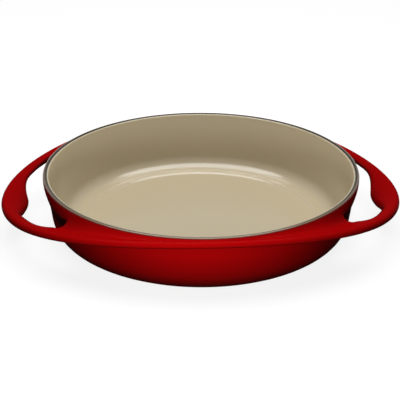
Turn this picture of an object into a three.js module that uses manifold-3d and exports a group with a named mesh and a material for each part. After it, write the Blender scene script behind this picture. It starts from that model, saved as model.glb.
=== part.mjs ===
import * as THREE from "three";
import { mergeVertices } from "three/addons/utils/BufferGeometryUtils.js";
import Module from "manifold-3d";

// An enamelled cast-iron tarte tatin dish: a shallow round bowl whose apron swells into a loop
// handle at each side. One iron casting carries the fired coats of enamel.
// Millimetres, +Z up. The origin is on the resting plane under the middle of the bowl, and the
// handles lie along X.

// Driving dimensions of the bowl, over the enamel
const dishHeight = 51;
const lipRadius = 130;
const collarDepth = 6;
const collarBendDepth = 13;
const shoulderDepth = 22;
const shoulderSetIn = 4.5;
const wallTaper = 3.8;
const wallThickness = 5.7;
const outerCornerRadius = 16.6;
const lipThickness = 4.6;
const lipOuterRound = 1.6;
const lipInnerRound = 1.2;
const insideCornerRadius = 18;
const floorHeight = 6;
const floorRise = 0.5;
const floorGrooveWidth = 3;
const floorRampWidth = 4.5;

// Driving dimensions of the foot
const footWidth = 8.5;
const footFlankWidth = 1;
const footRecess = 1.2;
const enamelLowerHeight = 0.5;

// Driving dimensions of the apron and the loop handles, over the enamel
const handleReach = 35;
const apronReachAtFront = 3;
const apronDropAtFront = 5.1;
const apronDropAtGrip = 25.2;
const apronThicknessAtFront = 5.5;
const apronThicknessAtGrip = 8;
const apronRootFillet = 7;
const apronRootDepth = 1.4;
const leastRootFillet = 0.3;
const handleBarWidth = 8.4;
const gripWidth = 20.6;
const gripTilt = 8;
const gripTiltSharpness = 4;
const thumbRestHalfLength = 33;
const thumbRestBend = 14;
const gripCornerSoftness = 7;
const gapEndAngle = THREE.MathUtils.degToRad(36);
const gapEndSoftness = 11;

// Driving dimensions of the enamel
const enamelThickness = 0.6;
const bondGap = 0.3;

// Facets
const turnSegments = 60;
const cornerSteps = 4;
const collarSteps = 3;
const roundSteps = 2;
const noseSteps = 4;
const filletSteps = 3;
const outlineSteps = 5;
const mergeDistance = 1e-4;

// Sizes that follow: the wall from the lip, the apron from the wall, the iron from the enamel
const collarHeight = dishHeight - collarDepth;
const collarBendHeight = dishHeight - collarBendDepth;
const shoulderHeight = dishHeight - shoulderDepth;
const shoulderRadius = lipRadius - shoulderSetIn;
const wallFootRadius = shoulderRadius - wallTaper;
const insideFootRadius = wallFootRadius - wallThickness;
const apronHalfLength = lipRadius + handleReach;
const apronHalfWidth = lipRadius + apronReachAtFront;
const ironDepth = enamelThickness + bondGap;

const wasm = await Module();
wasm.setup();

// Turns a closed geometry into a solid for cutting and joining
function toSolid(geometry) {
  const bare = geometry.clone();
  bare.deleteAttribute("normal");
  bare.deleteAttribute("uv");
  const merged = mergeVertices(bare, mergeDistance);
  const corners = merged.index.array;
  const triangles = [];
  for (let i = 0; i < corners.length; i += 3) {
    const [a, b, c] = corners.slice(i, i + 3);
    if (a !== b && b !== c && c !== a) {
      triangles.push(a, b, c);
    }
  }
  return new wasm.Manifold(new wasm.Mesh({
    numProp: 3,
    vertProperties: new Float32Array(merged.attributes.position.array),
    triVerts: new Uint32Array(triangles),
  }));
}

function toGeometry(solid) {
  const mesh = solid.getMesh();
  const geometry = new THREE.BufferGeometry();
  geometry.setAttribute("position", new THREE.BufferAttribute(mesh.vertProperties, 3));
  geometry.setIndex(new THREE.BufferAttribute(mesh.triVerts, 1));
  geometry.computeVertexNormals();
  return geometry;
}

// A solid turned about the Z axis from a section of (radius, height) points
function turned(section) {
  const upward = THREE.ShapeUtils.isClockWise(section) ? [...section].reverse() : section;
  const lathe = new THREE.LatheGeometry(upward, turnSegments);
  lathe.rotateX(Math.PI / 2);
  return toSolid(lathe);
}

function point(radius, height) {
  return new THREE.Vector2(radius, height);
}

function arc(centreRadius, centreHeight, radius, from, to, steps) {
  const points = [];
  for (let i = 0; i <= steps; i += 1) {
    const angle = from + (to - from) * i / steps;
    points.push(point(centreRadius + radius * Math.cos(angle), centreHeight + radius * Math.sin(angle)));
  }
  return points;
}

// Moves a line of section points to its left, which is into the metal
function inset(line, depth) {
  return line.map((here, i) => {
    const before = line[Math.max(i - 1, 0)];
    const after = line[Math.min(i + 1, line.length - 1)];
    const into = here.clone().sub(before);
    const out = after.clone().sub(here);
    const first = i === 0 ? out : into;
    const last = i === line.length - 1 ? into : out;
    const normal = first.normalize().add(last.normalize()).normalize();
    const spread = normal.dot(last);
    return point(here.x - normal.y * depth / spread, here.y + normal.x * depth / spread);
  });
}

// Finished surface of the outside, from the foot up to the lip
const wallLean = Math.atan2(shoulderRadius - wallFootRadius, shoulderHeight);
const cornerCentre = wallFootRadius
  + outerCornerRadius * (Math.tan(wallLean) - 1 / Math.cos(wallLean));
const enamelStartAngle = -Math.asin(1 - enamelLowerHeight / outerCornerRadius);
const lipBandHeight = dishHeight - lipOuterRound;
const coatTop = lipBandHeight - bondGap;
const collar = new THREE.QuadraticBezierCurve(
  point(shoulderRadius, shoulderHeight),
  point(lipRadius, collarBendHeight),
  point(lipRadius, collarHeight),
);
const outsideLine = [
  ...arc(cornerCentre, outerCornerRadius, outerCornerRadius, enamelStartAngle, -wallLean, cornerSteps),
  ...collar.getPoints(collarSteps),
  point(lipRadius, coatTop),
];

// Finished surface of the lip, which keeps a flat land on top
const landOuterRadius = lipRadius - lipOuterRound;
const landInnerRadius = lipRadius - lipThickness + lipInnerRound;
const lipLine = [
  ...arc(landOuterRadius, lipBandHeight, lipOuterRound, 0, Math.PI / 2, roundSteps),
  point(landInnerRadius + bondGap, dishHeight),
];

// Finished surface of the inside, from the lip down to the middle of the floor
const insideLipRadius = lipRadius - lipThickness;
const insideLipHeight = dishHeight - lipInnerRound;
const insideLean = Math.atan2(insideLipRadius - insideFootRadius, insideLipHeight - floorHeight);
const insideCentre = insideFootRadius
  + insideCornerRadius * (Math.tan(insideLean) - 1 / Math.cos(insideLean));
const grooveRadius = insideCentre - floorGrooveWidth;
const insideLine = [
  ...arc(landInnerRadius, insideLipHeight, lipInnerRound, Math.PI / 2, Math.PI, roundSteps),
  ...arc(insideCentre, floorHeight + insideCornerRadius, insideCornerRadius,
    -insideLean, -Math.PI / 2, cornerSteps),
  point(grooveRadius, floorHeight),
  point(grooveRadius - floorRampWidth, floorHeight + floorRise),
  point(0, floorHeight + floorRise),
];

const skinLine = [...outsideLine, ...lipLine, ...insideLine];
const enamelLine = inset(skinLine, enamelThickness);
const ironLine = inset(skinLine, ironDepth);
const lipStart = outsideLine.length;
const insideStart = outsideLine.length + lipLine.length;

// A coat of enamel lies between the finished surface and its inner line
function coatSection(start, end) {
  const section = [...enamelLine.slice(start, end).reverse(), ...skinLine.slice(start, end)];
  const closesOnAxis = section.some((corner) => corner.x === 0);
  return closesOnAxis ? section : [...section, section[0]];
}

// Radius of the finished outside at a height
function wallRadius(height) {
  for (let i = 1; i < outsideLine.length; i += 1) {
    const low = outsideLine[i - 1];
    const high = outsideLine[i];
    if (height <= high.y) {
      const share = Math.max((height - low.y) / (high.y - low.y), 0);
      return low.x + (high.x - low.x) * share;
    }
  }
  return lipRadius;
}

// The apron's edge is an oval whose height falls from front to side. The apron lies level along a
// radius, but each grip dips towards the bowl.
function apronAt(angle) {
  const along = Math.cos(angle) / apronHalfLength;
  const across = Math.sin(angle) / apronHalfWidth;
  const reach = 1 / Math.hypot(along, across);
  const sideShare = (along * reach) ** 2;
  return {
    reach,
    height: dishHeight - apronDropAtFront - (apronDropAtGrip - apronDropAtFront) * sideShare,
    thickness: apronThicknessAtFront + (apronThicknessAtGrip - apronThicknessAtFront) * sideShare,
    dip: gripTilt * sideShare ** gripTiltSharpness,
  };
}

// Radial section of the apron: rooted in the wall, with a round nose and a fillet above the root
function apronSection(angle, depth) {
  const { reach, height, thickness, dip } = apronAt(angle);
  const half = thickness / 2 - depth;
  const noseRadius = reach - depth - half;
  const top = height + half - dip;
  const bottom = height - half - dip;
  const rootRadius = wallRadius(top) - depth;
  const filletRoom = Math.min(noseRadius - rootRadius, coatTop - leastRootFillet - top);
  const fillet = Math.max(leastRootFillet, Math.min(apronRootFillet, filletRoom));
  return [
    point(wallRadius(bottom) - depth - apronRootDepth, bottom),
    ...arc(noseRadius, height, half, -Math.PI / 2, Math.PI / 2, noseSteps),
    ...arc(rootRadius + fillet, top + fillet, fillet, -Math.PI / 2, -Math.PI, filletSteps),
    point(wallRadius(top + fillet) - depth - apronRootDepth, top + fillet),
  ];
}

// The ring of apron sections all round the bowl, before the finger gaps are cut
function apronRing(depth) {
  const positions = [];
  const triangles = [];
  const sectionSize = apronSection(0, depth).length;
  for (let turn = 0; turn < turnSegments; turn += 1) {
    const angle = 2 * Math.PI * turn / turnSegments;
    const nextTurn = (turn + 1) % turnSegments;
    apronSection(angle, depth).forEach((corner, i) => {
      positions.push(corner.x * Math.cos(angle), corner.x * Math.sin(angle), corner.y);
      const nextCorner = (i + 1) % sectionSize;
      const a = turn * sectionSize + i;
      const b = turn * sectionSize + nextCorner;
      const c = nextTurn * sectionSize + nextCorner;
      const d = nextTurn * sectionSize + i;
      triangles.push(a, c, b, a, d, c);
    });
  }
  const ring = new THREE.BufferGeometry();
  ring.setAttribute("position", new THREE.Float32BufferAttribute(positions, 3));
  ring.setIndex(triangles);
  return toSolid(ring);
}

// Plan outline of the finger gap of the +X handle, with a thumb rest swelling in from the grip
function fingerGapOutline(depth) {
  const length = apronHalfLength - handleBarWidth + depth;
  const width = apronHalfWidth - handleBarWidth + depth;
  const restX = apronHalfLength - gripWidth + depth;
  const innerRadius = wallFootRadius - apronRootDepth;
  const endAngle = gapEndAngle + Math.asin(depth / shoulderRadius);
  const endTurn = Math.atan2(Math.sin(endAngle) / width, Math.cos(endAngle) / length);
  const endCorner = point(length * Math.cos(endTurn), width * Math.sin(endTurn));
  const endLength = endCorner.length();
  const endStart = endCorner.clone().multiplyScalar(innerRadius / endLength);
  const endBend = endCorner.clone().multiplyScalar(1 - gapEndSoftness / endLength);
  const gripTurn = Math.asin((thumbRestHalfLength + depth) / width);
  const gripCorner = point(length * Math.cos(gripTurn), width * Math.sin(gripTurn));
  const crest = point(restX, thumbRestBend);
  const flank = gripCorner.clone();
  flank.add(crest.clone().sub(gripCorner).setLength(gripCornerSoftness));
  const barFrom = endTurn - gapEndSoftness / length;
  const barTo = gripTurn + gripCornerSoftness / length;
  const barStart = point(length * Math.cos(barFrom), width * Math.sin(barFrom));
  const barEnd = point(length * Math.cos(barTo), width * Math.sin(barTo));

  const outline = new THREE.Shape();
  outline.moveTo(endStart.x, -endStart.y);
  outline.lineTo(endBend.x, -endBend.y);
  outline.quadraticCurveTo(endCorner.x, -endCorner.y, barStart.x, -barStart.y);
  outline.absellipse(0, 0, length, width, -barFrom, -barTo, false);
  outline.quadraticCurveTo(gripCorner.x, -gripCorner.y, flank.x, -flank.y);
  outline.quadraticCurveTo(crest.x, -crest.y, restX, 0);
  outline.quadraticCurveTo(crest.x, crest.y, flank.x, flank.y);
  outline.quadraticCurveTo(gripCorner.x, gripCorner.y, barEnd.x, barEnd.y);
  outline.absellipse(0, 0, length, width, barTo, barFrom, false);
  outline.quadraticCurveTo(endCorner.x, endCorner.y, endBend.x, endBend.y);
  outline.lineTo(endStart.x, endStart.y);
  return outline;
}

function fingerGap(depth, side) {
  const gap = new THREE.ExtrudeGeometry(fingerGapOutline(depth), {
    depth: dishHeight,
    bevelEnabled: false,
    curveSegments: outlineSteps,
  });
  if (side < 0) {
    gap.rotateZ(Math.PI);
  }
  return toSolid(gap);
}

// The apron with both finger gaps, at a depth under the finished surface
function apron(depth) {
  return apronRing(depth).subtract(fingerGap(depth, 1)).subtract(fingerGap(depth, -1));
}

// The iron: bowl, foot, apron and handles in one casting
const footOuterRadius = outsideLine[0].x - footFlankWidth;
const footInnerRadius = footOuterRadius - footWidth;
const ironRecess = footRecess + ironDepth;
const bowlSection = [
  point(0, ironRecess),
  point(footInnerRadius, ironRecess),
  point(footInnerRadius, 0),
  point(footOuterRadius, 0),
  ...ironLine,
];
const casting = turned(bowlSection).add(apron(ironDepth));

// The outside coat wraps the wall, the apron and the handles, open at the lip and at the foot
function outsideForm(line, bottom, top) {
  return turned([
    point(0, bottom),
    point(line[0].x, bottom),
    ...line,
    point(line[line.length - 1].x, top),
    point(0, top),
  ]);
}
const enamelOutsideLine = enamelLine.slice(0, lipStart);
const outsideFace = outsideForm(outsideLine.slice(0, -1), outsideLine[0].y, coatTop).add(apron(0));
const bondFace = outsideForm(enamelOutsideLine, -enamelThickness, dishHeight).add(apron(enamelThickness));
const outsideCoat = outsideFace.subtract(bondFace);

const baseCoat = new THREE.CylinderGeometry(
  footInnerRadius - bondGap,
  footInnerRadius - bondGap,
  enamelThickness,
  turnSegments,
);
baseCoat.rotateX(Math.PI / 2);
baseCoat.translate(0, 0, footRecess + enamelThickness / 2);

function finish(color, roughness, metalness) {
  return new THREE.MeshStandardMaterial({ color, roughness, metalness });
}

function piece(name, geometry, material) {
  const mesh = new THREE.Mesh(geometry, material);
  mesh.name = name;
  return mesh;
}

const dish = new THREE.Group();
dish.name = "tarte_tatin_dish";
dish.add(
  piece("iron_casting", toGeometry(casting), finish(0x3b3835, 0.75, 0.6)),
  piece("exterior_enamel", toGeometry(outsideCoat), finish(0x9a0608, 0.18, 0)),
  piece("interior_enamel", toGeometry(turned(coatSection(insideStart, skinLine.length))),
    finish(0xbeb296, 0.25, 0)),
  piece("rim_ground_coat", toGeometry(turned(coatSection(lipStart, insideStart))),
    finish(0x6f6961, 0.6, 0.1)),
  piece("base_enamel", baseCoat, finish(0x8a0608, 0.35, 0)),
);

export default dish;
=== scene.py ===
# %% [markdown]
# # A tarte tatin dish in enamelled cast iron
# The real dish is one iron casting: a shallow round bowl whose apron swells into a loop handle at
# each side. Glass powder is melted onto it, red outside and sand inside. The lip keeps only its
# ground coat, and the foot ring stays bare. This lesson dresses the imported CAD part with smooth
# surfaces and enamel.

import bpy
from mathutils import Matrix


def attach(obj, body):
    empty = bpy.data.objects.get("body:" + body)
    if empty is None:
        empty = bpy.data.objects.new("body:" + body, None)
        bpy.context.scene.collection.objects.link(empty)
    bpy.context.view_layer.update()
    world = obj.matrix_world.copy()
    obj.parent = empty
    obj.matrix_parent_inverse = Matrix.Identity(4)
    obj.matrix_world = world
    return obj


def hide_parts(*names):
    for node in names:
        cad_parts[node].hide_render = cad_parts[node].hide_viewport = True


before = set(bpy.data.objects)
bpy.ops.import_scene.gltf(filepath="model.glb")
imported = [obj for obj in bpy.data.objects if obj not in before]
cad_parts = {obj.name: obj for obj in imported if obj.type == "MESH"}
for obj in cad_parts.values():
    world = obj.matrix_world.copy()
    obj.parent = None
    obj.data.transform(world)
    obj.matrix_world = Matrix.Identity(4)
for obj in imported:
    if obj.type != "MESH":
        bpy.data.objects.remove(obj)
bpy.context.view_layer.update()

# %% [markdown]
# ## Measures
# A dish like this is drawn in millimetres, and Blender works in metres. The main measures are the
# ones that the casting pattern would carry: the lip, the height and the oval of the apron. Writing
# them once keeps every surface of the lesson in step with the CAD part.

# %% Main measures of the dish, in millimetres
import math

import bmesh
import bpy
from mathutils import Vector

MM = 0.001
LIP_RADIUS = 130
LIP_BAND_HEIGHT = 49.4
DISH_HEIGHT = 51
APRON_HALF_LENGTH = 165
APRON_HALF_WIDTH = 133
print("dish:", 2 * APRON_HALF_LENGTH, "x", 2 * APRON_HALF_WIDTH, "x", DISH_HEIGHT, "mm")

# %% [markdown]
# ## The outside as one skin
# The red outside runs without a break from the foot up the wall, out along the apron, round its
# nose and back to the lip. It could be a turned bowl with handles joined on, but a join would show
# as a line in the gloss. So a plain tube of rows and columns is spun first, each column is then
# laid onto the dish's own section at that angle, and only the two finger gaps are cut afterwards.

# %% Shape of the apron round the dish
APRON_DROP = 5.1
GRIP_DROP = 20.1
APRON_THICKNESS = 5.5
GRIP_SWELLING = 2.5
GRIP_DIP = 11.5
GRIP_DIP_SHARPNESS = 4


def oval_radius(angle, half_length, half_width):
    return 1 / math.hypot(math.cos(angle) / half_length, math.sin(angle) / half_width)


def apron_at(angle):
    """Reach, mid height, half thickness and dip towards the bowl, at an angle round the dish."""
    reach = oval_radius(angle, APRON_HALF_LENGTH, APRON_HALF_WIDTH)
    side = (math.cos(angle) * reach / APRON_HALF_LENGTH) ** 2
    height = DISH_HEIGHT - APRON_DROP - GRIP_DROP * side
    half = (APRON_THICKNESS + GRIP_SWELLING * side) / 2
    return reach, height, half, GRIP_DIP * side ** GRIP_DIP_SHARPNESS


print("apron's middle at a grip:", round(apron_at(0)[1], 1), "mm up")
print("apron's middle at the front:", round(apron_at(math.pi / 2)[1], 1), "mm up")

# %% [markdown]
# ## The inner side of a handle bar
# A handle bar is widest at its grip, where a rest for the thumb swells in over the finger gap. The
# gap could be cut upright in one go with a Boolean, but the bar's inner side leans, so its two edges
# are different curves: a broad rest near the underside and a slimmer, rounder one near the top.
# Each edge gets its own formula, and the side between them is bridged later.

# %% Inner side of a handle bar
HANDLE_BAR_WIDTH = 8.4
LOW_EDGE_OUT = 1.2
TOP_EDGE_IN = 1.5
GAP_END_ANGLE = 34.5
GAP_END_ROUNDING = 8
GAP_END_SPAN = 7.5
THUMB_REST_DEPTH = 12.2
LOW_REST_ANGLE = 16
LOW_REST_CURVE = 1.3
TOP_REST_SPAN = 8.9
REST_CORNER_DEPTH = 1.6
REST_CORNER_ANGLE = 18
REST_CORNER_SPAN = 5


def handle_angle(angle):
    """Degrees from the nearer handle's middle, 0 at the grips and 90 at the front and back."""
    return math.degrees(math.acos(min(abs(math.cos(angle)), 1)))


def bell(turn, middle, span):
    """1 at the middle, falling off softly to both sides."""
    return math.exp(-((turn - middle) / span) ** 2)


def gap_radii(angle):
    """Radius of the handle bar's inner side near its underside and near its top."""
    turn = handle_angle(angle)
    bar = oval_radius(angle, APRON_HALF_LENGTH - HANDLE_BAR_WIDTH, APRON_HALF_WIDTH - HANDLE_BAR_WIDTH)
    bar -= GAP_END_ROUNDING * max((turn - GAP_END_ANGLE) / GAP_END_SPAN + 1, 0) ** 2
    low_share = max(1 - (turn / LOW_REST_ANGLE) ** 2, 0) ** LOW_REST_CURVE
    low_rest = (THUMB_REST_DEPTH + LOW_EDGE_OUT) * low_share
    top_rest = THUMB_REST_DEPTH * bell(turn, 0, TOP_REST_SPAN)
    top_rest += REST_CORNER_DEPTH * bell(turn, REST_CORNER_ANGLE, REST_CORNER_SPAN)
    return bar + LOW_EDGE_OUT - low_rest, bar - TOP_EDGE_IN - top_rest


print("bar's inner side at the grip:", [round(r, 1) for r in gap_radii(0)], "mm from the axis")

# %% [markdown]
# ## The wall
# The wall rises from the foot as a slightly open cone. Through a finger gap one sees that it doesn't
# run straight up to the lip but leans out to a collar under it. It could be one turned line all
# round, but away from the gaps the apron leaves the wall below the collar, so the lower cone and the
# open wall are two formulas.

# %% Shape of the wall
WALL_FOOT_RADIUS = 121.7
WALL_SLOPE = 3.8 / 29
SHOULDER_LOW = 30
SHOULDER_HIGH = 46
COLLAR_FLARE = 1.35


def lower_wall_radius(height):
    return WALL_FOOT_RADIUS + WALL_SLOPE * height


def open_wall_radius(height):
    """The wall as seen through a finger gap, where it leans out from the shoulder to the collar."""
    share = min(max((height - SHOULDER_LOW) / (SHOULDER_HIGH - SHOULDER_LOW), 0), 1)
    low = lower_wall_radius(min(height, SHOULDER_LOW))
    return low + (LIP_RADIUS - low) * (1 - (1 - share) ** COLLAR_FLARE)


def open_wall_points(heights):
    return [(open_wall_radius(height), height) for height in heights]


print("collar steps in by", round(LIP_RADIUS - open_wall_radius(SHOULDER_LOW), 1), "mm")

# %% [markdown]
# ## Sections of the outside
# A section is the line of the outside at one angle, from the foot up to the lip. Through the web it
# follows the apron, which joins the wall in a fillet above and below. Through a finger gap it has the
# open wall and the bar. Separate meshes for the two would have to be stitched, so both kinds have
# the same count of rows, and the web's rows move towards the gap's own rows near its ends.

# %% Helpers for steps, arcs and soft rises
def spread(first, last, count):
    return [first + (last - first) * i / (count - 1) for i in range(count)]


def arc_points(centre, middle, radius, start, end, count):
    """Points (radius, height) on an arc about a centre, from one turn in degrees to another."""
    turns = [math.radians(a) for a in spread(start, end, count)]
    return [(centre + radius * math.cos(t), middle + radius * math.sin(t)) for t in turns]


def smooth_step(low, high, value):
    """0 at low and 1 at high, with a soft rise between them."""
    share = min(max((value - low) / (high - low), 0), 1)
    return share * share * (3 - 2 * share)


def blended(first, second, share):
    return [a + (b - a) * share for a, b in zip(first, second)]


print("a soft rise in five steps:", [round(smooth_step(0, 1, share), 2) for share in spread(0, 1, 5)])

# %% Where the web meets the wall
DIP_END_RADIUS = LIP_RADIUS - 2
EVEN_ROWS_ANGLE = 47


def dip_at(radius, nose, dip):
    """The dip towards the bowl at a radius: nothing at the nose and all of it at the wall."""
    return dip * min(max((nose - radius) / (nose - DIP_END_RADIUS), 0), 1)


def away_from_gap(angle):
    """0 at the end of a finger gap, rising to 1 where the rows lie evenly."""
    return smooth_step(GAP_END_ANGLE, EVEN_ROWS_ANGLE, handle_angle(angle))


grip_reach, _, grip_half, grip_dip = apron_at(0)
edge_dip = dip_at(gap_radii(0)[1], grip_reach - grip_half, grip_dip)
print("dip at a grip's inner edge:", round(edge_dip, 1), "mm")

# %% Underside of the web
UNDER_FILLET = 0.5
UNDER_FILLET_GAIN = 1.1
UNDER_ROWS = 3
BOTTOM_AT_END = (0, 0.08, 0.25, 0.46, 0.72, 1)
BOTTOM_ELSEWHERE = (0, 0.12, 0.42, 0.72, 0.86, 1)


def web_underside(angle):
    """Rows of the small fillet under the web, and rows from there out to the nose."""
    reach, height, half, dip = apron_at(angle)
    nose = reach - half
    away = away_from_gap(angle)
    root_height = height - half - dip_at(LIP_RADIUS, nose, dip)
    fillet = UNDER_FILLET + UNDER_FILLET_GAIN * away
    root = lower_wall_radius(root_height) + fillet
    under = arc_points(root, root_height - fillet, fillet, 180, 90, UNDER_ROWS + 1)[:UNDER_ROWS]
    shares = blended(BOTTOM_AT_END, BOTTOM_ELSEWHERE, away)
    return under, [blended((root, root_height), (nose, height - half), share) for share in shares]


print("web leaves the wall at the front:", round(web_underside(math.pi / 2)[0][0][1], 1), "mm up")

# %% Top of the web
TOP_FILLET = 7
LEAST_FILLET = 0.3
LEAST_COLLAR = 0.3
LEAST_WEB = 1
TOP_AT_END = (0, 0.4, 0.98, 1.25, 1.5, 1.72, 1.8, 1.87, 1.94, 2)
TOP_ELSEWHERE = (0, 0.14, 0.28, 0.58, 0.88, 1, 1.25, 1.5, 1.75, 2)


def web_top(angle):
    """The turn in degrees at which the nose ends, and rows from there up the fillet to the wall."""
    reach, height, half, dip = apron_at(angle)
    nose = reach - half
    root_height = height + half - dip_at(LIP_RADIUS, nose, dip)
    room = min(nose - LIP_RADIUS - LEAST_WEB, LIP_BAND_HEIGHT - LEAST_COLLAR - root_height)
    fillet = max(min(TOP_FILLET, room), LEAST_FILLET)
    web_start = LIP_RADIUS + fillet
    web_end = max(nose, web_start + LEAST_WEB)
    nose_top = math.degrees(math.acos(min((web_end - nose) / half, 1)))
    nose_edge = height + half * math.sin(math.radians(nose_top))

    def point_at(place):
        """A place along the web's top, 0 at the nose, 1 at the fillet's foot, 2 at its top."""
        if place < 1:
            return blended((web_end, nose_edge), (web_start, root_height), place)
        climb = math.radians(270 - 90 * (place - 1))
        return web_start + fillet * math.cos(climb), root_height + fillet * (1 + math.sin(climb))

    places = blended(TOP_AT_END, TOP_ELSEWHERE, away_from_gap(angle))
    return nose_top, [point_at(place) for place in places]


print("fillet's top at the front:", round(web_top(math.pi / 2)[1][-1][1], 1), "mm up")

# %% Section through the web
UNDER_WEB_STEP = 0.8
COLLAR_SHARE = 0.3


def web_rows(angle):
    """Rows by their place on the dish. Two entries are heights, and nose_top is a turn in degrees."""
    under, bottom = web_underside(angle)
    nose_top, top = web_top(angle)
    fillet_top = top[-1][1]
    collar_foot = fillet_top + COLLAR_SHARE * (LIP_BAND_HEIGHT - fillet_top)
    return {"cone_top": under[0][1] - UNDER_WEB_STEP, "under": under, "bottom": bottom,
            "nose_top": nose_top, "top": top, "collar_foot": collar_foot}


print("stretches of a section:", ", ".join(web_rows(math.pi / 2)))

# %% Section through a finger gap
EDGE_LEAN = 0.2
EDGE_MARGIN = 1
BAR_MIDDLE = 0.42
WALL_UNDER_GAP = (25.5, 26.8, 28)
WALL_AT_GAP_BOTTOM = (28.8, 29.8)
WALL_OVER_GAP = (34.4, 35.2, 36, 37.1, 38.4, 40)
CONE_TOP_IN_GAP = 24
COLLAR_FOOT_IN_GAP = 41.8


def gap_rows(angle):
    """The same entries as for the web, but with the open wall and the bar standing apart."""
    reach, height, half, dip = apron_at(angle)
    nose = reach - half
    low, high = gap_radii(angle)
    low_edge = low + EDGE_LEAN * (low - high) + EDGE_MARGIN
    top_edge = high - EDGE_LEAN * (low - high) + EDGE_MARGIN
    between = (high + LIP_RADIUS) / 2
    low_radii = (between, low_edge, low_edge + BAR_MIDDLE * (nose - low_edge), nose)
    top_radii = (nose, top_edge + BAR_MIDDLE * (nose - top_edge), top_edge, between)
    under_bar = [(radius, height - half - dip_at(radius, nose, dip)) for radius in low_radii]
    top_bar = [(radius, height + half - dip_at(radius, nose, dip)) for radius in top_radii]
    return {"cone_top": CONE_TOP_IN_GAP, "under": open_wall_points(WALL_UNDER_GAP),
            "bottom": open_wall_points(WALL_AT_GAP_BOTTOM) + under_bar, "nose_top": 90,
            "top": top_bar + open_wall_points(WALL_OVER_GAP), "collar_foot": COLLAR_FOOT_IN_GAP}


print("rows of a grip's top:", len(gap_rows(0)["top"]), "and of the web's:", len(TOP_ELSEWHERE))

# %% Whole section, from the foot up to the lip
OUTER_CORNER = 16.6
CORNER_CENTRE = WALL_FOOT_RADIUS + OUTER_CORNER * (WALL_SLOPE - math.hypot(1, WALL_SLOPE))
CORNER_TURNS = (-76, -7.5)
CORNER_ROWS, CONE_ROWS, NOSE_ROWS, COLLAR_ROWS, LIP_ROWS = 6, 4, 6, 3, 2
# Subdivision pulls a round in a little, so the nose starts out slightly too big.
NOSE_GROWTH = 1.035
LIP_ROUND = 1.6
RED_TOP_TURN = 44
ANGLE_TOLERANCE = 0.1


def outside_section(angle):
    reach, height, half, _ = apron_at(angle)
    in_gap = handle_angle(angle) < GAP_END_ANGLE - ANGLE_TOLERANCE
    rows = gap_rows(angle) if in_gap else web_rows(angle)
    corner = arc_points(CORNER_CENTRE, OUTER_CORNER, OUTER_CORNER, *CORNER_TURNS, CORNER_ROWS)
    cone_heights = spread(corner[-1][1], rows["cone_top"], CONE_ROWS + 1)[1:]
    cone = [(lower_wall_radius(z), z) for z in cone_heights]
    nose_turns = (-90, rows["nose_top"])
    nose = arc_points(reach - half, height, half * NOSE_GROWTH, *nose_turns, NOSE_ROWS + 2)[1:-1]
    collar_heights = spread(rows["collar_foot"], LIP_BAND_HEIGHT, COLLAR_ROWS)
    collar = open_wall_points(collar_heights) if in_gap else [(LIP_RADIUS, z) for z in collar_heights]
    lip_centre = LIP_RADIUS - LIP_ROUND
    lip_edge = arc_points(lip_centre, LIP_BAND_HEIGHT, LIP_ROUND, 0, RED_TOP_TURN, LIP_ROWS + 1)[1:]
    apron = rows["under"] + rows["bottom"] + nose + rows["top"]
    return corner + cone + apron + collar + lip_edge


FIRST_BOTTOM = CORNER_ROWS + CONE_ROWS + UNDER_ROWS
FIRST_TOP = FIRST_BOTTOM + len(BOTTOM_ELSEWHERE) + NOSE_ROWS
ROW_COUNT = len(outside_section(0))
print("rows in a section:", ROW_COUNT, "and at the front:", len(outside_section(math.pi / 2)))

# %% [markdown]
# ## Spinning the tube and laying it on the sections
# Spin turns a short line of vertices into a full tube and welds its seam. The height of a vertex in
# the plain tube tells its row, and its angle tells its column, so each one can be carried to its
# place on the dish. Columns 1.5 degrees apart put an edge on both ends of a finger gap.

# %% Spin the tube
COLUMN_COUNT = 240
WELD_DISTANCE = 1e-7


def spun(points, steps, closed=False):
    """A bmesh with a line of points, given as (radius, height) in millimetres, spun about the axis."""
    bm = bmesh.new()
    line = [bm.verts.new((radius * MM, 0, height * MM)) for radius, height in points]
    pairs = zip(line[-1:] + line, line) if closed else zip(line, line[1:])
    edges = [bm.edges.new(pair) for pair in pairs]
    bmesh.ops.spin(bm, geom=line + edges, cent=(0, 0, 0), axis=(0, 0, 1), angle=2 * math.pi,
                   steps=steps, use_merge=True)
    bmesh.ops.remove_doubles(bm, verts=bm.verts, dist=WELD_DISTANCE)
    bmesh.ops.recalc_face_normals(bm, faces=bm.faces)
    return bm


skin = spun([(LIP_RADIUS, row) for row in range(ROW_COUNT)], COLUMN_COUNT)
row_layer = skin.verts.layers.int.new("row")
column_layer = skin.verts.layers.int.new("column")
for vert in skin.verts:
    share_of_turn = math.atan2(vert.co.y, vert.co.x) / (2 * math.pi)
    vert[row_layer] = round(vert.co.z / MM)
    vert[column_layer] = round(share_of_turn * COLUMN_COUNT) % COLUMN_COUNT
print("tube:", len(skin.verts), "vertices,", len(skin.faces), "faces")

# %% Lay each column on its section
def column_angle(column):
    return 2 * math.pi * column / COLUMN_COUNT


def place_on_dish(radius, angle, height):
    return Vector((radius * math.cos(angle), radius * math.sin(angle), height)) * MM


sections = [outside_section(column_angle(column)) for column in range(COLUMN_COUNT)]
for vert in skin.verts:
    radius, height = sections[vert[column_layer]][vert[row_layer]]
    vert.co = place_on_dish(radius, column_angle(vert[column_layer]), height)
bmesh.ops.recalc_face_normals(skin, faces=skin.faces)
print("reach along X:", round(max(v.co.x for v in skin.verts) / MM, 1), "mm")

# %% [markdown]
# ## The finger gaps
# A gap is cut by deleting the faces between the wall and the handle bar, on the apron's top and on
# its underside. That leaves two open loops, one above the other. Bridging them makes the wall, the
# bar's inner side and both ends of the gap in one go, and two cuts round them over.

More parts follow.
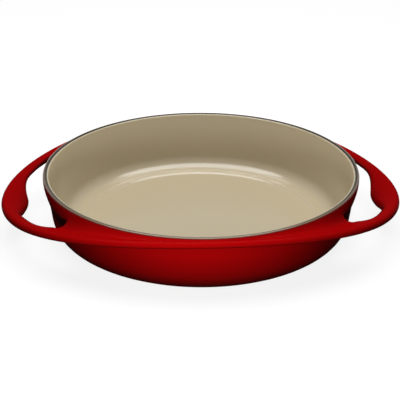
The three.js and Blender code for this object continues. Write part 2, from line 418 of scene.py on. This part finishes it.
# %% Cut both finger gaps and bridge them
END_COLUMN = round(GAP_END_ANGLE * COLUMN_COUNT / 360)
BOTTOM_GAP = (FIRST_BOTTOM + 1, FIRST_BOTTOM + 3)
TOP_GAP = (FIRST_TOP + 2, FIRST_TOP + 4)


def columns_from_handle(column):
    turned = min(column % COLUMN_COUNT, -column % COLUMN_COUNT)
    return min(turned, COLUMN_COUNT // 2 - turned)


def in_gap_band(face, band):
    rows = [vert[row_layer] for vert in face.verts]
    across = [columns_from_handle(vert[column_layer]) for vert in face.verts]
    return min(rows) >= band[0] and max(rows) <= band[1] and max(across) <= END_COLUMN


gap_faces = [f for f in skin.faces if in_gap_band(f, BOTTOM_GAP) or in_gap_band(f, TOP_GAP)]
bmesh.ops.delete(skin, geom=gap_faces, context="FACES")
border = [e for e in skin.edges if e.is_boundary and min(v[row_layer] for v in e.verts) > 0
          and max(v[row_layer] for v in e.verts) < ROW_COUNT - 1]
bridge_edges = []
for side in (1, -1):
    loop_edges = [e for e in border if e.verts[0].co.x * side > 0]
    made = bmesh.ops.bridge_loops(skin, edges=loop_edges)
    bridge_edges += made["edges"]
    print("gap loop edges:", len(loop_edges), "bridge faces:", len(made["faces"]))

# %% Round the sides of the gaps
UPRIGHT_ROWS = 3
END_ZONE = 1
END_ROUND = 0.9
BAR_ROUND = 1.2
WALL_LIMIT = LIP_RADIUS + 1
uprights = [e for e in bridge_edges if abs(e.verts[0][row_layer] - e.verts[1][row_layer]) > UPRIGHT_ROWS]
cut = bmesh.ops.subdivide_edges(skin, edges=uprights, cuts=2)
new_verts = {v for v in cut["geom_inner"] if isinstance(v, bmesh.types.BMVert)}
for vert in new_verts:
    flat = Vector((vert.co.x, vert.co.y, 0)) / MM
    angle = math.atan2(flat.y, flat.x)
    height = vert.co.z / MM
    if handle_angle(angle) > GAP_END_ANGLE - END_ZONE:
        tangent = Vector((-flat.y, flat.x, 0)).normalized()
        toward = -1 if flat.x * flat.y > 0 else 1
        vert.co += tangent * toward * END_ROUND * MM
    elif flat.length < WALL_LIMIT:
        vert.co = place_on_dish(open_wall_radius(height), angle, height)
    else:
        vert.co -= flat.normalized() * BAR_ROUND * MM
print("rounding vertices:", len(new_verts))

# %% [markdown]
# ## Closing the skin
# An open skin would show its back at the foot and under the lip. On the real dish the enamel ends
# against iron there, so the upper edge is folded in under the lip, run down inside the wall and
# bridged to the edge at the foot. Nothing of that inner side is seen, but the piece is closed.

# %% Fold the edges in
FOLD_LINE = ((129, 50.3), (128.6, 49.2), (126.4, 40), (123.2, 22),
             (121.6, 12), (117.6, 5.2), (113.2, 1.7))


def border_at(bm, row):
    return [e for e in bm.edges if e.is_boundary and all(v[row_layer] == row for v in e.verts)]


fold = border_at(skin, ROW_COUNT - 1)
for step, (radius, height) in enumerate(FOLD_LINE):
    pulled = bmesh.ops.extrude_edge_only(skin, edges=fold)["geom"]
    for vert in (g for g in pulled if isinstance(g, bmesh.types.BMVert)):
        vert.co = place_on_dish(radius, column_angle(vert[column_layer]), height)
        vert[row_layer] = ROW_COUNT + step
    fold = [g for g in pulled if isinstance(g, bmesh.types.BMEdge)]
bmesh.ops.bridge_loops(skin, edges=fold + border_at(skin, 0))
bmesh.ops.recalc_face_normals(skin, faces=skin.faces)
print("open edges left:", sum(e.is_boundary for e in skin.edges))

# %% [markdown]
# ## Where the enamel runs thin, and painted shade
# Molten glass draws back from convex edges, so the nose of the apron and the rims of the finger gaps
# look darker on a red dish. Painted shade is added to the same number on the faces that look down, on
# the sides of the finger gaps, on the wall behind a handle bar and on the line where the red ends at the
# lip. This could be painted by hand, but a number measured on each vertex follows every change of shape.
# The red finish reads it later as the attribute thin_coat_and_shade, and a second one, upper_face, says
# how far a face looks up.

# %% Measure the thin places and the painted shade
# Only the convex bend stands for a thinner coat. The faces that look down, the wall behind a bar, the
# sides of the gaps and the line at the lip get painted shade.
CONVEX_BEND = (0.12, 0.42)
SHADE_LOOKING_DOWN = (0.1, 0.7)
LOOKING_UP = (0.1, 0.6)
SHADOW_BEHIND_BAR = 0.95
SHADE_AT_LIP = 0.9
SHADOW_ENDS = (GAP_END_ANGLE + 1.5, GAP_END_ANGLE - 4)
SHADOW_FOOT = (22, 28)
SHADOW_HEAD = (42, 36)


def shadow_behind_bar(place):
    """Painted shadow: 1 on the wall behind a handle bar, fading to 0 around it."""
    if math.hypot(place.x, place.y) > WALL_LIMIT:
        return 0
    along = smooth_step(*SHADOW_ENDS, handle_angle(math.atan2(place.y, place.x)))
    return along * smooth_step(*SHADOW_FOOT, place.z) * smooth_step(*SHADOW_HEAD, place.z)


thin_and_shade_layer = skin.verts.layers.float.new("thin_coat_and_shade")
upper_layer = skin.verts.layers.float.new("upper_face")
skin.normal_update()
for vert in skin.verts:
    around = [e.other_vert(vert).co - vert.co for e in vert.link_edges]
    bend = sum(-step.normalized().dot(vert.normal) for step in around) / len(around)
    at_lip = ROW_COUNT - LIP_ROWS <= vert[row_layer] < ROW_COUNT
    painted_shadow = 1 if vert in new_verts else shadow_behind_bar(vert.co / MM)
    # The larger of a thin coat on convex edges and painted shade on down-facing faces, behind a bar, on
    # the gap sides and at the lip.
    vert[thin_and_shade_layer] = max(smooth_step(*CONVEX_BEND, bend), smooth_step(*SHADE_LOOKING_DOWN, -vert.normal.z),
                           SHADOW_BEHIND_BAR * painted_shadow, SHADE_AT_LIP * at_lip)
    vert[upper_layer] = smooth_step(*LOOKING_UP, vert.normal.z)
print("thin vertices:", sum(v[thin_and_shade_layer] > 0.5 for v in skin.verts))

# %% Make the outside a piece of the dish
def make_piece(name, bm, slot, *nodes):
    mesh = bpy.data.meshes.new(name)
    bm.to_mesh(mesh)
    bm.free()
    for polygon in mesh.polygons:
        polygon.use_smooth = True
    piece = bpy.data.objects.new(name, mesh)
    bpy.context.scene.collection.objects.link(piece)
    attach(piece, "root")
    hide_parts(*nodes)
    return piece


outside = make_piece("red_outside", skin, "red_enamel", "exterior_enamel")
rounding = outside.modifiers.new("smooth_casting", "SUBSURF")
rounding.levels = 1
rounding.render_levels = 1
print("outside cage:", len(outside.data.polygons), "faces")

# %% [markdown]
# ## The sand lining
# The inside is turned: a level floor with a low raised ring near its edge, a fillet, a wall that
# leans out and an edge that rolls over to the lip. It could be the bowl's skin set inwards, but the
# inside has lines of its own, so its own line of points is spun about the axis. Solidify then adds
# the thickness of the coat under it, so that the lining is a closed shell.

# %% Line of the inside
FLOOR_HEIGHT = 3.2
FLOOR_POINTS = (0, 12, 30, 50, 68, 80, 90)
BEAD_HEIGHT = 1.1
BEAD_FALL = 0.6
BEAD_FOOT, BEAD_RISE, BEAD_CREST, BEAD_END = 96.2, 96.4, 99.4, 104
FILLET = 12.4
FILLET_CENTRE = 104.8
FILLET_TURNS = (270, 346.4)
ROLL_TURNS = (180, 92)
INNER_WALL_TOP = (125.3, 49.5)
EDGE_ROLL = 0.9
LINING_EDGE = [(126.4, 50.41), (126.65, 50.42)]
BEAD_POINTS, FILLET_POINTS, WALL_POINTS, ROLL_POINTS = 26, 18, 8, 7


def bead_at(radius):
    """The floor with its raised ring, which climbs to a crest and falls back by part of its height."""
    climb = smooth_step(BEAD_RISE, BEAD_CREST, radius)
    fall = BEAD_FALL * smooth_step(BEAD_CREST, BEAD_END, radius)
    return FLOOR_HEIGHT + BEAD_HEIGHT * (climb - fall)


def inside_line():
    floor = [(radius, FLOOR_HEIGHT) for radius in FLOOR_POINTS]
    bead = [(radius, bead_at(radius)) for radius in spread(BEAD_FOOT, BEAD_END, BEAD_POINTS)]
    fillet_height = bead_at(BEAD_END) + FILLET
    fillet = arc_points(FILLET_CENTRE, fillet_height, FILLET, *FILLET_TURNS, FILLET_POINTS)
    wall = [blended(fillet[-1], INNER_WALL_TOP, share) for share in spread(0, 1, WALL_POINTS)[1:]]
    roll_centre = INNER_WALL_TOP[0] + EDGE_ROLL
    roll = arc_points(roll_centre, INNER_WALL_TOP[1], EDGE_ROLL, *ROLL_TURNS, ROLL_POINTS)[1:]
    return floor + bead + fillet + wall + roll + LINING_EDGE


print("points in the inside's line:", len(inside_line()))

# %% Spin the lining
LATHE_STEPS = 144
COAT_THICKNESS = 0.6
lining = spun(inside_line(), LATHE_STEPS)
if sum(f.normal.z for f in lining.faces) < 0:
    bmesh.ops.reverse_faces(lining, faces=lining.faces)
inside = make_piece("sand_lining", lining, "sand_enamel", "interior_enamel")
coat = inside.modifiers.new("coat_thickness", "SOLIDIFY")
coat.thickness = COAT_THICKNESS * MM
coat.offset = -1
print("lining:", len(inside.data.polygons), "faces")

# %% [markdown]
# ## The lip
# Colour would chip where a plate is laid over the dish, so the lip keeps only the ground coat. It
# is a narrow ring with a rounded outer edge and a face that slopes in to the lining. A flattened
# torus would come close, but not meet the red and the sand in clean lines. So a section is spun,
# and its last point is joined to its first, because the ring has to be closed.

# %% Spin the lip
LIP_LAP = 2
LIP_CREST_TURN = 110
LIP_POINTS = 9
LIP_SLOPE = [(127.2, 50.67), (126.65, 50.46)]
LIP_BACK = [(126.65, 49.9), (127.2, 49.3), (128.4, 49.2), (129.3, 49.6)]
lip_round = arc_points(LIP_RADIUS - LIP_ROUND, LIP_BAND_HEIGHT, LIP_ROUND,
                       RED_TOP_TURN - LIP_LAP, LIP_CREST_TURN, LIP_POINTS)
lip_ring = spun(lip_round + LIP_SLOPE + LIP_BACK, LATHE_STEPS, closed=True)
lip = make_piece("grey_lip", lip_ring, "ground_coat", "rim_ground_coat")
print("lip:", len(lip.data.polygons), "faces")

# %% [markdown]
# ## The iron and the base
# Under the coats lies the iron, bare only on the foot ring that is ground flat after firing. The
# bowl of the casting is spun from one line just under the coats, which starts and ends on the axis
# and so gives a closed solid. The handles get no iron of their own here, because the closed red skin
# hides them all over. The base inside the foot ring is a slightly domed disc of red enamel that
# meets the ring in a small fillet.

# %% Spin the iron bowl with its foot ring
FOOT_OUTER = 110
FOOT_INNER = 101.5
GROUND_EDGE = 0.25
foot_line = [(0, 1.9), (60, 1.9), (FOOT_INNER - 0.1, 1.9), (FOOT_INNER, 0.5), (FOOT_INNER + 0.5, 0),
             (FOOT_OUTER - 0.5, 0), (FOOT_OUTER + 0.1, 0.3)]
wall_outside = [(112.4, 1.5), (116.9, 5.2), (121.1, 12), (122.7, 20), (125.6, 38), (127.2, 47)]
wall_inside = [(126.7, 48.2), (124.6, 40), (119.9, 20), (118.4, 14), (116.2, 8), (112, 4)]
floor_line = [(106, 2.5), (60, 2.4), (0, 2.4)]
iron_bowl = spun(foot_line + wall_outside + wall_inside + floor_line, LATHE_STEPS)
iron = make_piece("iron_bowl", iron_bowl, "iron", "iron_casting")
ground = iron.modifiers.new("ground_edges", "BEVEL")
ground.width = GROUND_EDGE * MM
ground.segments = 2
ground.limit_method = "ANGLE"
print("iron:", len(iron.data.polygons), "faces")

# %% Spin the base
base_top = [(0, 1.75), (FOOT_INNER - 0.2, 1.75)]
base_fillet = [(FOOT_INNER - 0.05, 0.75), (FOOT_INNER - 0.5, 0.95), (FOOT_INNER - 1.2, 1.15)]
base_dome = [(FOOT_INNER - 3, 1.22), (70, 1.26), (35, 1.3), (0, 1.32)]
base_disc = spun(base_top + base_fillet + base_dome, LATHE_STEPS)
base = make_piece("red_base", base_disc, "base_enamel", "base_enamel")
print("base:", len(base.data.polygons), "faces")

# %% [markdown]
# ## Two effects that all the finishes share
# Fired glass is never perfectly even. It has a faint ripple, like the skin of an orange, and its
# tone drifts a little where the coat is thicker. Image textures would need unwrapping, so both are
# built once as node groups that read Object coordinates and stay with the dish when it is moved or
# exported. Bare iron uses them too, with a finer grain.

# %% Group for the ripple of the glass
def new_group(name, inputs, outputs):
    group = bpy.data.node_groups.new(name, "ShaderNodeTree")
    for label, kind, value in inputs:
        group.interface.new_socket(label, in_out="INPUT", socket_type=kind).default_value = value
    for label, kind in outputs:
        group.interface.new_socket(label, in_out="OUTPUT", socket_type=kind)
    return group, group.nodes.new("NodeGroupInput"), group.nodes.new("NodeGroupOutput")


ripple, ripple_in, ripple_out = new_group(
    "glass_ripple", [("Scale", "NodeSocketFloat", 60.0)], [("Height", "NodeSocketFloat")])
coords = ripple.nodes.new("ShaderNodeTexCoord")
waves = ripple.nodes.new("ShaderNodeTexNoise")
waves.inputs["Detail"].default_value = 1.5
ripple.links.new(coords.outputs["Object"], waves.inputs["Vector"])
ripple.links.new(ripple_in.outputs["Scale"], waves.inputs["Scale"])
ripple.links.new(waves.outputs["Fac"], ripple_out.inputs["Height"])
print("group:", ripple.name)

# %% Group for the drift of tone
drift, drift_in, drift_out = new_group(
    "tone_drift",
    [("Thin", "NodeSocketColor", (0.5, 0.5, 0.5, 1)), ("Thick", "NodeSocketColor", (0.4, 0.4, 0.4, 1)),
     ("Scale", "NodeSocketFloat", 12.0)],
    [("Color", "NodeSocketColor")])
coords = drift.nodes.new("ShaderNodeTexCoord")
patches = drift.nodes.new("ShaderNodeTexNoise")
patches.inputs["Detail"].default_value = 3
blend = drift.nodes.new("ShaderNodeMix")
blend.data_type = "RGBA"
drift.links.new(coords.outputs["Object"], patches.inputs["Vector"])
drift.links.new(drift_in.outputs["Scale"], patches.inputs["Scale"])
drift.links.new(patches.outputs["Fac"], blend.inputs["Factor"])
drift.links.new(drift_in.outputs["Thin"], blend.inputs["A"])
drift.links.new(drift_in.outputs["Thick"], blend.inputs["B"])
drift.links.new(blend.outputs["Result"], drift_out.inputs["Color"])
print("group:", drift.name)

# %% [markdown]
# ## Plain finishes: sand, dull red and bare iron
# Each finish is a Principled shader fed by the two groups, so one helper makes them all and only the
# values differ. The sand enamel is pale and glossy, with a clear coat over it. The base is duller
# than the wall, because it sits on supports in the kiln, and the foot ring is ground iron.

# %% Sand enamel
def make_finish(name, thin, thick, tone_scale, roughness, specular, ripple_scale, ripple_depth):
    """A material with a drifting tone and a rippled skin. Its node named tone holds the colour."""
    material = bpy.data.materials.new(name)
    material.use_nodes = True
    nodes, links = material.node_tree.nodes, material.node_tree.links
    shader = nodes["Principled BSDF"]
    shader.inputs["Roughness"].default_value = roughness
    shader.inputs["Specular IOR Level"].default_value = specular
    tone = nodes.new("ShaderNodeGroup")
    tone.name = "tone"
    tone.node_tree = drift
    tone.inputs["Thin"].default_value = (*thin, 1)
    tone.inputs["Thick"].default_value = (*thick, 1)
    tone.inputs["Scale"].default_value = tone_scale
    links.new(tone.outputs["Color"], shader.inputs["Base Color"])
    wave = nodes.new("ShaderNodeGroup")
    wave.node_tree = ripple
    wave.inputs["Scale"].default_value = ripple_scale
    bump = nodes.new("ShaderNodeBump")
    bump.inputs["Strength"].default_value = 1
    bump.inputs["Distance"].default_value = ripple_depth * MM
    links.new(wave.outputs["Height"], bump.inputs["Height"])
    links.new(bump.outputs["Normal"], shader.inputs["Normal"])
    print("finish:", name)
    return material, shader


def wear(piece, material):
    piece.data.materials.clear()
    piece.data.materials.append(material)


sand, sand_shader = make_finish(
    "sand_enamel", thin=(0.56, 0.478, 0.328), thick=(0.53, 0.448, 0.298), tone_scale=9,
    roughness=0.16, specular=0.5, ripple_scale=70, ripple_depth=0.04)
sand_shader.inputs["Coat Weight"].default_value = 0.4
sand_shader.inputs["Coat Roughness"].default_value = 0.12
wear(inside, sand)

# %% Dull red enamel and bare iron
dull_red, _ = make_finish(
    "dull_red_enamel", thin=(0.27, 0.006, 0.007), thick=(0.2, 0.004, 0.005), tone_scale=30,
    roughness=0.38, specular=0.3, ripple_scale=500, ripple_depth=0.06)
wear(base, dull_red)
bare, bare_shader = make_finish(
    "bare_iron", thin=(0.16, 0.15, 0.14), thick=(0.09, 0.085, 0.08), tone_scale=220,
    roughness=0.5, specular=0.5, ripple_scale=1200, ripple_depth=0.05)
bare_shader.inputs["Metallic"].default_value = 0.7
wear(iron, bare)

# %% [markdown]
# ## The finish of the lip
# Ground coat is a thin glossy glass. On the face that slopes in it is almost black, and on the rounded
# outer edge it is brown. Two rings could show that, but it is one coat, so one material changes its tone
# with the distance from the dish's axis.

# %% Ground coat of the lip
grey, grey_shader = make_finish(
    "grey_ground_coat", thin=(0.22, 0.15, 0.09), thick=(0.17, 0.115, 0.068), tone_scale=160,
    roughness=0.2, specular=0.4, ripple_scale=900, ripple_depth=0.02)
grey_shader.inputs["Coat Weight"].default_value = 0.2
grey_shader.inputs["Coat Roughness"].default_value = 0.15
wear(lip, grey)

# %% Dark slope and brown round of the lip
DARK_SLOPE = (0.022, 0.017, 0.012, 1)
SLOPE_END, ROUND_START = 128, 128.8


def soft_range(nodes, low, high):
    """A node that goes softly from 0 to 1 between two places given in millimetres."""
    node = nodes.new("ShaderNodeMapRange")
    node.interpolation_type = "SMOOTHSTEP"
    node.inputs["From Min"].default_value = low * MM
    node.inputs["From Max"].default_value = high * MM
    return node


def colour_mix(nodes):
    node = nodes.new("ShaderNodeMix")
    node.data_type = "RGBA"
    return node


nodes, links = grey.node_tree.nodes, grey.node_tree.links
spot = nodes.new("ShaderNodeTexCoord")
flatten = nodes.new("ShaderNodeVectorMath")
flatten.operation = "MULTIPLY"
flatten.inputs[1].default_value = (1, 1, 0)
out_from_axis = nodes.new("ShaderNodeVectorMath")
out_from_axis.operation = "LENGTH"
on_round = soft_range(nodes, SLOPE_END, ROUND_START)
edge_tone = colour_mix(nodes)
edge_tone.inputs["A"].default_value = DARK_SLOPE
links.new(spot.outputs["Object"], flatten.inputs[0])
links.new(flatten.outputs["Vector"], out_from_axis.inputs[0])
links.new(out_from_axis.outputs["Value"], on_round.inputs["Value"])
links.new(on_round.outputs["Result"], edge_tone.inputs["Factor"])
links.new(nodes["tone"].outputs["Color"], edge_tone.inputs["B"])
links.new(edge_tone.outputs["Result"], grey_shader.inputs["Base Color"])
print("tone changes from", SLOPE_END, "to", ROUND_START, "mm from the axis")

# %% [markdown]
# ## The red finish
# The red is deep and soft in its gloss. It gets darker towards the foot, and turns nearly black where
# thin_coat_and_shade marks a thin coat on convex edges and painted shade elsewhere. A clear coat lies on
# it faintly, a little more on the faces that look up, and strongly on the roll at the lip. All of this
# could be painted into a picture, but a height and two attributes do it without one.

# %% Red enamel, darker towards the foot
DARK_FOOT = (0.05, 0.001, 0.001, 1)
DARKEST_HEIGHT, FULL_RED_HEIGHT = -12, 46
red, red_shader = make_finish(
    "red_enamel", thin=(0.36, 0.0015, 0.002), thick=(0.33, 0.001, 0.0015), tone_scale=14,
    roughness=0.22, specular=0, ripple_scale=60, ripple_depth=0.03)
red_shader.inputs["Coat Roughness"].default_value = 0.14
nodes, links = red.node_tree.nodes, red.node_tree.links
place = nodes.new("ShaderNodeTexCoord")
axes = nodes.new("ShaderNodeSeparateXYZ")
rise = soft_range(nodes, DARKEST_HEIGHT, FULL_RED_HEIGHT)
shade = colour_mix(nodes)
shade.inputs["A"].default_value = DARK_FOOT
links.new(place.outputs["Object"], axes.inputs["Vector"])
links.new(axes.outputs["Z"], rise.inputs["Value"])
links.new(rise.outputs["Result"], shade.inputs["Factor"])
links.new(nodes["tone"].outputs["Color"], shade.inputs["B"])
print("full red from", FULL_RED_HEIGHT, "mm up")

# %% Red enamel, darker where it is thin and where shade is painted
THIN_AND_SHADED_RED = (0.035, 0.002, 0.002, 1)
THIN_AND_SHADE_STRENGTH = 0.75
# The attribute holds a thin coat on convex edges and painted shade on down-facing faces, behind the
# bars, on the gap sides and at the lip.
thin = nodes.new("ShaderNodeAttribute")
thin.attribute_name = "thin_coat_and_shade"
weight = nodes.new("ShaderNodeMath")
weight.operation = "MULTIPLY"
weight.inputs[1].default_value = THIN_AND_SHADE_STRENGTH
darken = colour_mix(nodes)
darken.inputs["B"].default_value = THIN_AND_SHADED_RED
links.new(thin.outputs["Fac"], weight.inputs[0])
links.new(weight.outputs["Value"], darken.inputs["Factor"])
links.new(shade.outputs["Result"], darken.inputs["A"])
links.new(darken.outputs["Result"], red_shader.inputs["Base Color"])
print("thin places are read from:", thin.attribute_name)

# %% Gloss of the red enamel
def larger_of(tree, first, second):
    """The larger of two values in a node tree."""
    node = tree.nodes.new("ShaderNodeMath")
    node.operation = "MAXIMUM"
    tree.links.new(first, node.inputs[0])
    tree.links.new(second, node.inputs[1])
    return node.outputs["Value"]


facing = nodes.new("ShaderNodeAttribute")
facing.attribute_name = "upper_face"
gloss = nodes.new("ShaderNodeMapRange")
gloss.inputs["To Min"].default_value = 0.004
gloss.inputs["To Max"].default_value = 0.025
links.new(facing.outputs["Fac"], gloss.inputs["Value"])
roll = nodes.new("ShaderNodeMapRange")
roll.inputs["From Min"].default_value = 49.6 * MM
roll.inputs["From Max"].default_value = 50.3 * MM
roll.inputs["To Max"].default_value = 0.8
links.new(axes.outputs["Z"], roll.inputs["Value"])
clear_coat = larger_of(red.node_tree, gloss.outputs["Result"], roll.outputs["Result"])
links.new(clear_coat, red_shader.inputs["Coat Weight"])
wear(outside, red)
print("upper faces are read from:", facing.attribute_name)

# %% [markdown]
# ## Studio
# The photograph has a white ground and light from above. The floor is pale for the camera and in
# reflections but darker for bounced light, so that the foot of the wall falls off into shadow. A
# wide oval lamp hangs over the dish, and two small ones stand low before and behind it, for the
# wall. The room is white to the camera, dimmer in reflections and nearly dark as a light.

# %% Floor
FLOOR_SIZE = 30
floor_mesh = bmesh.new()
bmesh.ops.create_grid(floor_mesh, x_segments=1, y_segments=1, size=FLOOR_SIZE)
floor_data = bpy.data.meshes.new("studio_floor")
floor_mesh.to_mesh(floor_data)
floor_mesh.free()
floor = bpy.data.objects.new("studio_floor", floor_data)
bpy.context.scene.collection.objects.link(floor)
print("floor:", floor.name)

# %% Floor that is pale only where it is seen
pale = bpy.data.materials.new("pale_floor")
pale.use_nodes = True
nodes, links = pale.node_tree.nodes, pale.node_tree.links
nodes.remove(nodes["Principled BSDF"])
path = nodes.new("ShaderNodeLightPath")
seen = larger_of(pale.node_tree, path.outputs["Is Camera Ray"], path.outputs["Is Glossy Ray"])
shown = larger_of(pale.node_tree, seen, path.outputs["Is Transmission Ray"])
dim_ground = nodes.new("ShaderNodeBsdfDiffuse")
dim_ground.inputs["Color"].default_value = (0.05, 0.05, 0.05, 1)
paper = nodes.new("ShaderNodeBsdfDiffuse")
paper.inputs["Color"].default_value = (0.16, 0.16, 0.16, 1)
glow = nodes.new("ShaderNodeEmission")
glow.inputs["Strength"].default_value = 0.85
white = nodes.new("ShaderNodeAddShader")
choose = nodes.new("ShaderNodeMixShader")
links.new(shown, choose.inputs["Fac"])
links.new(paper.outputs["BSDF"], white.inputs[0])
links.new(glow.outputs["Emission"], white.inputs[1])
links.new(dim_ground.outputs["BSDF"], choose.inputs[1])
links.new(white.outputs["Shader"], choose.inputs[2])
links.new(choose.outputs["Shader"], nodes["Material Output"].inputs["Surface"])
wear(floor, pale)
print("floor's material:", pale.name)

# %% Lamps
LOW_LAMP_SIZE = (0.12, 0.04)
LOW_LAMP_POWER = 0.58
MID_DISH = (0, 0, 0.03)


def lamp(name, place, aim, width, depth, power):
    data = bpy.data.lights.new(name, "AREA")
    data.shape = "ELLIPSE"
    data.size = width
    data.size_y = depth
    data.energy = power
    light = bpy.data.objects.new(name, data)
    bpy.context.scene.collection.objects.link(light)
    light.location = place
    light.rotation_euler = (Vector(place) - Vector(aim)).to_track_quat("Z", "Y").to_euler()
    return light


overhead = lamp("overhead_lamp", (0, 0.25, 1.5), (0, 0.25, 0), 1.9, 1.3, 27)
front = lamp("front_lamp", (-0.03, -0.36, 0.068), MID_DISH, *LOW_LAMP_SIZE, LOW_LAMP_POWER)
rear = lamp("rear_lamp", (0.03, 0.36, 0.068), MID_DISH, *LOW_LAMP_SIZE, LOW_LAMP_POWER)
for low_lamp in (front, rear):
    low_lamp.visible_camera = False
    low_lamp.visible_glossy = False
print("lamps:", overhead.data.energy, front.data.energy, rear.data.energy)

# %% Room around the lamps
world = bpy.data.worlds.new("studio_room")
bpy.context.scene.world = world
world.use_nodes = True
nodes, links = world.node_tree.nodes, world.node_tree.links
room = nodes["Background"]
room.inputs["Color"].default_value = (1, 1, 1, 1)
path = nodes.new("ShaderNodeLightPath")
seen = larger_of(world.node_tree, path.outputs["Is Glossy Ray"], path.outputs["Is Transmission Ray"])
mirrored = nodes.new("ShaderNodeMapRange")
mirrored.inputs["To Min"].default_value = 0.05
mirrored.inputs["To Max"].default_value = 0.38
links.new(seen, mirrored.inputs["Value"])
shown = larger_of(world.node_tree, mirrored.outputs["Result"], path.outputs["Is Camera Ray"])
links.new(shown, room.inputs["Strength"])
bpy.context.scene.view_settings.view_transform = "Standard"
print("room:", world.name)

# %% [markdown]
# ## Camera
# The photograph was taken from well back and a little above, about 25 degrees, turned slightly to
# the left of the dish's own front. A long lens keeps the far rim almost as wide as the near one.

# %% Camera at the photograph's angle
AZIMUTH = math.radians(-2.98)
ELEVATION = math.radians(24.68)
ROLL = math.radians(0.17)
DISTANCE = 1.0
AIM = Vector((0, 0, 0.025))
camera_data = bpy.data.cameras.new("camera")
camera_data.sensor_width = 36
camera_data.lens = 107.8
camera_data.shift_x = -0.0024
camera_data.shift_y = -0.009
camera = bpy.data.objects.new("camera", camera_data)
bpy.context.scene.collection.objects.link(camera)
level = math.cos(ELEVATION)
back = Vector((math.sin(AZIMUTH) * level, -math.cos(AZIMUTH) * level, math.sin(ELEVATION)))
camera.location = AIM + back * DISTANCE
camera.rotation_euler = back.to_track_quat("Z", "Y").to_euler()
camera.rotation_euler.rotate_axis("Z", ROLL)
bpy.context.scene.camera = camera
print("camera at", tuple(round(v, 3) for v in camera.location))
